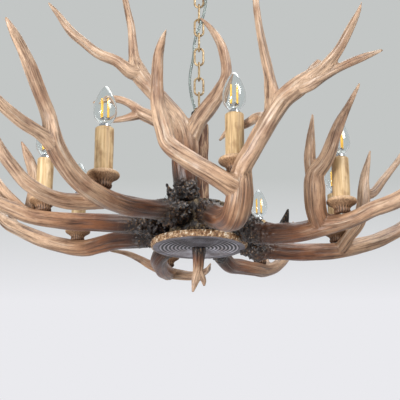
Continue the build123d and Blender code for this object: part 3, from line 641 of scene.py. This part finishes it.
def hornRelief(points, angle, distance, thick, shift, burr):
    # levels per point: streaks along the horn, broad swells, and the knobs of the burr
    streak, swell, knob = np.zeros((3, len(points)))
    for i in range(len(points)):
        c, s, d, off = math.cos(angle[i]), math.sin(angle[i]), distance[i] / mm, shift[i]
        size = thick[i] / mm / horn["streakAcross"]
        streak[i] = noise.noise((c * size + off, s * size, d / horn["streakAlong"] + off)) \
            + 0.6 * noise.noise((c * size * 1.7 - off, s * size * 1.7, d / horn["fineAlong"]))
        swell[i] = noise.noise((c * 1.1 + off, s * 1.1 - off, d / horn["swellAlong"]))
        if d < burr * 1.6:    # a little past the place where the lumps end
            q = Vector(points[i]) * horn["lumpsPerMetre"] + Vector((off, 0, 0))
            knob[i] = 0.55 - noise.voronoi(q)[0][0] + 0.5 * noise.noise(q * 0.45)
    return streak, swell, knob


def antlerPiece(node, branches, heading, seed, voxel=horn["voxel"], reachScale=1.0, burr=horn["burr"]):
    tubes, sectionValues = hornSections(branches, heading, burr)
    middle, radii, reach, across, other, branch, along, tone = sectionValues
    piece = remeshed(node + "_horn", *tubes, voxel)
    mesh = piece.data
    points = perPoint(mesh, "co")
    nearest = nearestSections(points, middle, radii)
    offset = points - middle[nearest]
    angle = np.arctan2((offset * other[nearest]).sum(1), (offset * across[nearest]).sum(1))
    distance = reach[nearest] + (offset * along[nearest]).sum(1)
    thick = radii[nearest]
    shift = seed * 7.3 + branch[nearest] * 3.1    # no two branches share their noise
    streak, swell, knob = hornRelief(points, angle, distance, thick, shift, burr)
    streak = neighbourMean(mesh, streak, 2)
    fade = np.clip(thick / (horn["thin"] * mm), horn["leastRelief"], 1.0)
    # full lumps along the burr, none from one and a half times its length
    lumps = np.clip(3 - 2 * distance / mm / burr, 0, 1) if burr else np.zeros(len(points))
    height = streak * horn["streakHigh"] * fade + swell * horn["swellHigh"] * fade \
        + knob * horn["lump"] * lumps
    points = points + perPoint(mesh, "normal") * (height * mm)[:, None]
    mesh.vertices.foreach_set("co", points.reshape(-1))
    mesh.update()
    # the material reads the relief as grain, the stain's way from the hub as reach, and a map in mm as lay
    stained = distance / mm / (horn["fullReach"] * reachScale) * tone[nearest]
    lay = np.column_stack([np.cos(angle) * thick, np.sin(angle) * thick, distance]) / mm + seed * 11.0
    setAttribute(piece, "grain", np.clip(0.56 + streak * 1.05 + swell * 0.35, 0, 1))
    setAttribute(piece, "reach", np.clip(stained + swell * 0.05, 0, 1))
    setAttribute(piece, "lay", lay, "FLOAT_VECTOR", "vector")
    dressed(piece, node, stainedAntler)


def makeAntlers():
    for number, shape in enumerate(candleAntlers):
        antlerPiece(f"candle_antler_{number + 1}", shape["branches"], firstHeading + 45 * number, number,
                    burr=shape.get("burr", horn["burr"]))
    for number, (node, branches) in enumerate(upperAntlers.items()):
        antlerPiece(node, branches, 0, 20 + number, horn["voxel"], horn["upperReach"][number], horn["upperBurr"])
    antlerPiece("finial", finialBranches, 0, 31, horn["finialVoxel"], horn["finialReach"], burr=0)


makeAntlers()
print("antlers made")


# ---- base plate, hub, post ----
plateFoot = Vector((0, 0, plateLow))
stump = {"radius": 52.0, "bore": 6.0, "low": 12.0, "high": 76.0, "step": 2.0, "sides": 160,
         "lump": 6.0, "topLump": 1.2}
post = {"radius": 18.0, "bore": 6.0, "low": 76.0, "high": 228.0, "step": 2.0, "sides": 96, "ridge": 2.6}


def seamless(angle, height, across, up, shift=0.0):
    # a turned piece's point in noise: across is grains per radius, up is grains per mm of height
    return Vector((math.cos(angle) * across + shift, math.sin(angle) * across, height * up))


def octaves(q, *finer):
    # noise with finer noises on it, each given as its share and its scale
    return sum((share * noise.noise(q * scale) for share, scale in finer), noise.noise(q))


def makePlate():
    r, e, t, bore = plate["radius"], plate["edge"], plate["thickness"], plate["bore"]
    face = []
    for i in range(int((r - plate["plainRim"] - bore) / plate["step"])):
        radius = bore + i * plate["step"]
        wave = math.sin(2 * math.pi * radius / plate["ringPitch"]) if radius < plate["ringed"] else 0.6
        face.append((radius, plate["ringDepth"] * (0.5 - 0.5 * wave)))
    side = [(r, t * part) for part in (0.4, 0.55, 0.7)]
    profile = face + arc(r - e, e, e, -90, 0, 5) + side + arc(r - e, t - e, e, 0, 90, 5) + [(bore, t)]

    def chipped(radius, height, angle):
        if radius < r - plate["chipped"]:
            return radius, height
        q = seamless(angle, height, 9, 0.12)
        nick = abs(noise.noise(q * 2.1)) * plate["nick"] + max(0, noise.noise(q * 3.7)) * plate["chip"]
        return radius - nick, height
    piece = lathe("trunk_slice", profile, plateFoot, plate["sides"], chipped)
    dressed(piece, "base_plate", trunkSlice)


def makeStump():
    r, bore, low, high = stump["radius"], stump["bore"], stump["low"], stump["high"]
    foot = low + 1
    rows = range(1, int((high - low) / stump["step"]) - 1)
    profile = [(bore, foot), (r - 2, foot)] + [(r, foot + i * stump["step"]) for i in rows]
    profile += [(r - 1.5, high - 1), (r * 0.85, high - 1), (r * 0.6, high - 2.5), (r * 0.4, high - 2.5),
                (bore, high - 2)]

    def gnarled(radius, height, angle):
        lump = octaves(seamless(angle, height, 3.2, 0.035), (0.6, 2.7), (0.4, 6.1))
        if radius > r * 0.9:
            return radius + lump * stump["lump"], height
        return radius, height + lump * stump["topLump"]
    piece = lathe("hub_stump", profile, plateFoot, stump["sides"], gnarled)
    dressed(piece, "hub_block", hubBark)


def makePost():
    bore, low, high = post["bore"], post["low"], post["high"]
    skin = [(post["radius"], low + i * post["step"]) for i in range(int((high - low) / post["step"]) + 1)]

    def furrowed(radius, height, angle):
        if radius == bore:
            return radius, height
        groove = octaves(seamless(angle, height, 3.4, 0.022), (0.7, 2.3))
        return radius - post["ridge"] * 0.45 + groove * post["ridge"] * 0.5, height
    profile = [(bore, low)] + skin + [(bore, high)]
    piece = lathe("bark_post_skin", profile, plateFoot, post["sides"], furrowed)
    dressed(piece, "bark_post", postBark)


makePlate()
makeStump()
makePost()
print("plate, hub and post made")


# ---- candles ----
# a cup is pleated from its foot to pleatTop, and ribbed from there to ribTop
cup = {"height": 24.0, "neck": 11.0, "plate": 24.0, "recess": 22.0, "bore": 5.0, "sides": 216,
       "pleats": 18, "pleatTop": 11.0, "pleatDepth": 2.2, "twist": 0.35,
       "ribs": 54, "ribTop": 18.0, "ribDepth": 0.7}
tube = {"radius": 14.0, "wall": 2.2, "height": 70.0, "edge": 0.8, "deep": 12.0, "bore": 5.0, "step": 5.0,
        "sides": 72, "uneven": 0.5}
# flame is the glass outline in shares of its height and radius, stem is (radius, height over the collar)
lamp = {"cap": 7.0, "capLength": 25.0, "bore": 5.0, "collar": 8.6, "collarHeight": 6.0, "sides": 64,
        "glass": 17.5, "glassHeight": 62.0, "wall": 0.8,
        "flame": [(0, 0.45), (0.03, 0.5), (0.1, 0.68), (0.2, 0.9), (0.3, 0.99), (0.36, 1), (0.46, 0.98),
                  (0.58, 0.89), (0.7, 0.74), (0.8, 0.58), (0.88, 0.42), (0.94, 0.28), (0.98, 0.14), (1, 0.02)],
        "strip": 1.15, "strips": 4, "stripLow": 10.0, "stripLength": 30.0, "stripRows": 7, "stripSides": 12,
        "circle": 6.5, "stemSides": 24,
        "stem": [(3.4, 0.9), (3.0, 3), (1.6, 7), (6.9, 9.6), (7.4, 10.1), (1, 10.6)]}


def cupMesh(name, seat):
    n, p, bore = cup["neck"], cup["plate"], cup["bore"]
    neck = [(bore, 0.2), (n - 1, 0.2), (n + 1.2, 2), (n + 1.6, 4.5), (n + 0.6, 7), (n + 1.8, 10),
            (n + 5.0, 13), (n + 8.6, 15.4)]
    rim = [(p - 1.5, 17), (p, 18.8), (p, 21), (p - 1, 22.8), (p - 2.5, 23.8), (p - 4, 24), (p - 6.5, 23)]
    profile = neck + rim + [(15.2, 22.4), (14.6, 22.1), (bore, 22.1)]

    def pleated(radius, height, angle):
        if height > cup["ribTop"] or radius == bore:
            return radius, height
        if height > cup["pleatTop"]:
            return radius, height + (abs(math.sin(angle * cup["ribs"] / 2)) - 0.5) * cup["ribDepth"]
        fold = abs(math.sin(angle * cup["pleats"] / 2 + height * cup["twist"]))
        return radius + (fold - 0.6) * cup["pleatDepth"], height
    piece = lathe(name, profile, seat, cup["sides"], pleated)
    turn = np.arange(cup["sides"]) * 2 * math.pi / cup["sides"]
    fold, rib = np.abs(np.sin(turn * cup["pleats"] / 2)), np.abs(np.sin(turn * cup["ribs"] / 2))

    def pooled(z):
        # how much stain has pooled around the cup at one height
        if z <= cup["pleatTop"]:
            return 1 - fold
        return (1 - rib) * (0.8 if z <= cup["ribTop"] else 0.0)
    setAttribute(piece, "rise", np.repeat([z / cup["height"] for r, z in profile], cup["sides"]))
    setAttribute(piece, "pleat", np.concatenate([pooled(z) for r, z in profile]))
    return piece


def tubeMesh(name, seat):
    r, e, step = tube["radius"], tube["edge"], tube["step"]
    hole, low = r - tube["wall"], cup["recess"]
    high = low + tube["height"]
    floor = high - tube["deep"]
    outside = [(r, low + i * step) for i in range(int(tube["height"] / step))] + [(r, high - e), (r - e, high)]
    inside = [(hole + e / 2, high), (hole, high - 1), (hole, floor), (tube["bore"], floor)]

    def uneven(radius, height, angle):
        if radius < r - 1:
            return radius, height
        q = seamless(angle, height, 1.5, 0.03, seat.x * 40)
        return radius + noise.noise(q) * tube["uneven"] - tube["uneven"] / 2, height
    return lathe(name, [(hole, low)] + outside + inside, seat, tube["sides"], uneven)


def flameProfile(low, wall):
    # the glass: a round foot, the widest place a third of the way up, and a soft point
    height = lamp["glassHeight"]
    rings = curvePath([(lamp["glass"] * w * mm, 0, height * t * mm) for t, w in lamp["flame"]], 2 * mm)
    return [(max(x / mm - wall, 0.1), low + min(max(z / mm, wall), height - wall)) for x, y, z in rings]


def filamentParts(seat, low):
    parts, rows = [], lamp["stripRows"]
    for i in range(lamp["strips"]):
        a = math.radians(45 + 360 / lamp["strips"] * i)
        foot = seat + Vector((lamp["circle"] * math.cos(a), lamp["circle"] * math.sin(a), low)) * mm
        path = [foot + Vector((0, 0, lamp["stripLength"] * k / (rows - 1))) * mm for k in range(rows)]
        parts.append(tubeParts(np.array(path), [lamp["strip"] * mm] * rows, lamp["stripSides"]))
    return joined(parts)


def lampPiece(number, seat):
    c, k, base = lamp["cap"], lamp["collar"], cup["recess"] + tube["height"]
    low, foot = base + lamp["collarHeight"], base - lamp["capLength"]
    capEdge = [(lamp["bore"], foot), (c, foot + 2), (c, base - 1)]
    collarEdge = [(k, base), (k + 0.3, base + 2), (k, low - 0.5), (k - 1, low)]
    metal = lathe(f"lamp_collar_{number}", capEdge + collarEdge, seat, lamp["sides"])
    # the inside skin faces inward and joins the outside one, so the glass is a thin closed shell
    outer, inner = [latheParts(flameProfile(low, wall), seat, lamp["sides"]) for wall in (0, lamp["wall"])]
    inward = [face[:1] + face[:0:-1] for face in inner[1]]
    glass = meshObject(f"lamp_glass_{number}", *joined([outer, (inner[0], inward)]))
    strips = meshObject(f"lamp_filaments_{number}", *filamentParts(seat, low + lamp["stripLow"]))
    stemEdge = [(r, low + up) for r, up in lamp["stem"]]
    stem = lathe(f"lamp_stem_{number}", stemEdge, seat, lamp["stemSides"])
    for piece, material in ((metal, chromeSteel), (glass, lampGlass), (strips, phosphor), (stem, lampGlass)):
        piece.data.materials.append(material)
        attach(piece, f"lamp_{number}")
    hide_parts(f"bulb_{number}")


def makeCandles():
    for number, shape in enumerate(candleAntlers, 1):
        seat = spot(firstHeading + 45 * (number - 1), *shape["candle"])
        dressed(cupMesh(f"drip_cup_{number}", seat), f"candle_cup_{number}", dripCup)
        dressed(tubeMesh(f"candle_tube_{number}", seat), f"candle_sleeve_{number}", candleTube)
        lampPiece(number, seat)


makeCandles()
print("candles made")


# ---- chain and cord ----
wire = {"radius": 2.0, "length": 38.0, "width": 20.0, "pitch": 29.7, "first": 482.2, "links": 8,
        "bendPoints": 25, "uneven": 0.04, "sides": 14}
cordRoute = [(14, 0, 514.9), (14, 0, 488), (10.5, -12, 445.5), (-9.5, 10.5, 402.5), (-9.5, 6.5, 368),
             (-16, 5, 338), (-17.5, 3, 308), (-12.5, 6, 281), (-6.5, 7, 262), (-6.5, 7, 244)]
cord = {"radius": 2.5, "strand": 0.75, "gap": 1.05, "sides": 16, "strandSides": 8}


def makeChain():
    bend = wire["width"] / 2 - wire["radius"]
    straight = wire["length"] / 2 - wire["radius"] - bend
    turns = np.linspace(0, math.pi, wire["bendPoints"])
    half = [(bend * math.cos(a), straight + bend * math.sin(a)) for a in turns]
    half += [(-bend, straight * k / 4) for k in (3, 1, -1, -3)]
    ring = half + [(-x, -z) for x, z in half]
    for number in range(wire["links"]):
        middle = plateLow / mm + wire["first"] - number * wire["pitch"]
        facing = number % 2 == 0    # every other link is seen broadside from the front
        path = np.array([(x if facing else 0, 0 if facing else x, middle + z) for x, z in ring]) * mm
        waves = [1 + wire["uneven"] * math.sin(i * 1.7 + number) for i in range(len(path))]
        radii = [wire["radius"] * mm * wave for wave in waves]
        piece = meshObject(f"wire_link_{number + 1}", *ringParts(path, radii, wire["sides"]))
        dressed(piece, f"chain_link_{number + 1}", antiqueGold, f"link_{number + 1}")


def smoothRoute():
    # the route's own curve, read from a spline with its points as control points
    curve = bpy.data.curves.new("cord route", "CURVE")
    curve.dimensions = "3D"
    spline = curve.splines.new("NURBS")
    spline.points.add(len(cordRoute) - 1)
    for point, (x, y, up) in zip(spline.points, cordRoute):
        point.co = (x * mm, y * mm, plateLow + up * mm, 1)
    spline.order_u = 3
    spline.use_endpoint_u = True
    spline.resolution_u = 24
    holder = bpy.data.objects.new("cord route", curve)
    bpy.context.scene.collection.objects.link(holder)
    mesh = bpy.data.meshes.new_from_object(holder.evaluated_get(bpy.context.evaluated_depsgraph_get()))
    points = np.array([v.co for v in mesh.vertices])
    bpy.data.objects.remove(holder)
    return points


def cordStretch(name, rows, across, other):
    # the sheath, then a strand on either side of its middle
    parts, owner = [], []
    for shift in (0, 1, -1):
        radius, sides = (cord["strand"], cord["strandSides"]) if shift else (cord["radius"], cord["sides"])
        middle = rows + across * cord["gap"] * shift * mm
        faces = skinFaces(len(rows), sides)
        parts.append((sections(middle, across, other, [radius * mm] * len(rows), sides), faces))
        owner += [1 if shift else 0] * len(faces)
    piece = meshObject(name, *joined(parts))
    piece.data.materials.append(vinyl)
    piece.data.materials.append(tinnedCopper)
    piece.data.polygons.foreach_set("material_index", owner)
    return piece


def makeCord():
    # nine stretches, one over each hinge of the chain, which meet at the middle of each link
    points = smoothRoute()
    hinges = [j["pos_m"][2] for j in frame["joints"] if j["name"].startswith("chain_hinge")]
    cuts = [points[0][2]] + [(a + b) / 2 for a, b in zip(hinges, hinges[1:])] + [points[-1][2]]
    across, other = pathFrames(points)[1:]
    for k, ends in enumerate(zip(cuts, cuts[1:])):
        first, last = [int(np.argmin(np.abs(points[:, 2] - height))) for height in ends]
        part = slice(first, last + 1)
        piece = cordStretch(f"cord_stretch_{k + 1}", points[part], across[part], other[part])
        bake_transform(piece)
        if k == 0:
            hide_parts("supply_cord")


makeChain()
makeCord()
print("chain and cord made")


# ---- CAD pieces that keep their shape ----
def paintNodes():
    finishes = {"ceiling_bracket": zincSteel, "ceiling_canopy": antiqueGold, "canopy_loop": antiqueGold,
                "loop_nut": zincSteel, "cord_grip": gripPlastic, "post_loop": antiqueGold,
                "post_collar": blackLacquer, "central_rod": zincSteel, "rod_nut": zincSteel,
                "antler_screws": zincSteel, "terminal_block": whiteBlock, "lampholders": whiteBlock,
                "socket_nipples": zincSteel}
    for node, material in finishes.items():
        mesh = frame["nodes"][node].data
        mesh.materials.clear()
        mesh.materials.append(material)


paintNodes()
print("kept pieces painted")


# ---- studio ----
# in metres: the paper's edges, the heights between which its painted shade changes, each light's place and width
# (then watts)
studio = {"floor": -2.6, "wall": 3.4, "top": 5, "side": 8, "front": -6, "wallPaintedShadeTop": "#c3c6c5",
          "wallLow": "#eaeaee", "shade": {"From Min": -0.7, "From Max": 0.78}, "evenShare": 0.45,
          "air": "#eef1f4", "airStrength": 0.42, "aim": (0, 0, -0.45),
          "lights": {"key": ((-1.1, -1.7, -0.75), 0.9, 43), "fill": ((1.4, -1.4, 0.9), 1.4, 40),
                     "top": ((0.2, 0.6, 1.3), 1.6, 18)}}


def paper(name, low, high):
    # matt paper that glows for the camera, the glass and the metal alike: painted light, even low down and
    # darkened towards the top by painted shade
    material, tree = newMaterial(name)
    shaded(material, {"Base Color": hexColour("#dfe0e1"), "Roughness": 0.9})
    height = addNode(tree, "SeparateXYZ", {"Vector": addNode(tree, "TexCoord", {}, "Object")}, "Z")
    level = addNode(tree, "MapRange", {"Value": height, **studio["shade"]})
    stops = [(0, low), (studio["evenShare"], low), (1, high)]
    colour = addNode(tree, "ValToRGB", {"Fac": level, "stops": stops})
    glow = addNode(tree, "Emission", {"Strength": 1.0, "Color": colour})
    direct = addNode(tree, "LightPath", {}, "Is Camera Ray")
    for ray in ("Is Glossy Ray", "Is Transmission Ray"):
        other = addNode(tree, "LightPath", {}, ray)
        direct = addNode(tree, "Math", {"operation": "MAXIMUM", 0: direct, 1: other})
    matt = tree.nodes["Principled BSDF"].outputs["BSDF"]
    mixed = addNode(tree, "MixShader", {0: direct, 1: matt, 2: glow})
    plug(tree, tree.nodes["Material Output"].inputs["Surface"], mixed)
    return material


def makeLight(name, place, size, power):
    data = bpy.data.lights.new(name, "AREA")
    data.shape = "DISK"
    data.size = size
    data.energy = power
    light = bpy.data.objects.new(name, data)
    light.location = place
    light.rotation_euler = (Vector(studio["aim"]) - Vector(place)).to_track_quat("-Z", "Y").to_euler()
    bpy.context.scene.collection.objects.link(light)


def makeStudio():
    s, f, w, high, front = [studio[key] for key in ("side", "floor", "wall", "top", "front")]
    wall = meshObject("backdrop", [(-s, w, f - 1), (s, w, f - 1), (s, w, high), (-s, w, high)], [(0, 1, 2, 3)])
    floor = meshObject("studio_floor", [(-s, front, f), (s, front, f), (s, w, f), (-s, w, f)], [(0, 1, 2, 3)])
    wall.data.materials.append(paper("backdrop paper", studio["wallLow"], studio["wallPaintedShadeTop"]))
    floor.data.materials.append(plainPlastic("pale floor", "#e9e9ea", 0.85))
    world = bpy.data.worlds.new("studio air")
    bpy.context.scene.world = world
    world.use_nodes = True
    air = world.node_tree.nodes["Background"].inputs
    air["Color"].default_value = hexColour(studio["air"])
    air["Strength"].default_value = studio["airStrength"]
    for name, (place, size, power) in studio["lights"].items():
        makeLight(name, place, size, power)
    bpy.context.scene.view_settings.view_transform = "Standard"


makeStudio()
print("studio made")
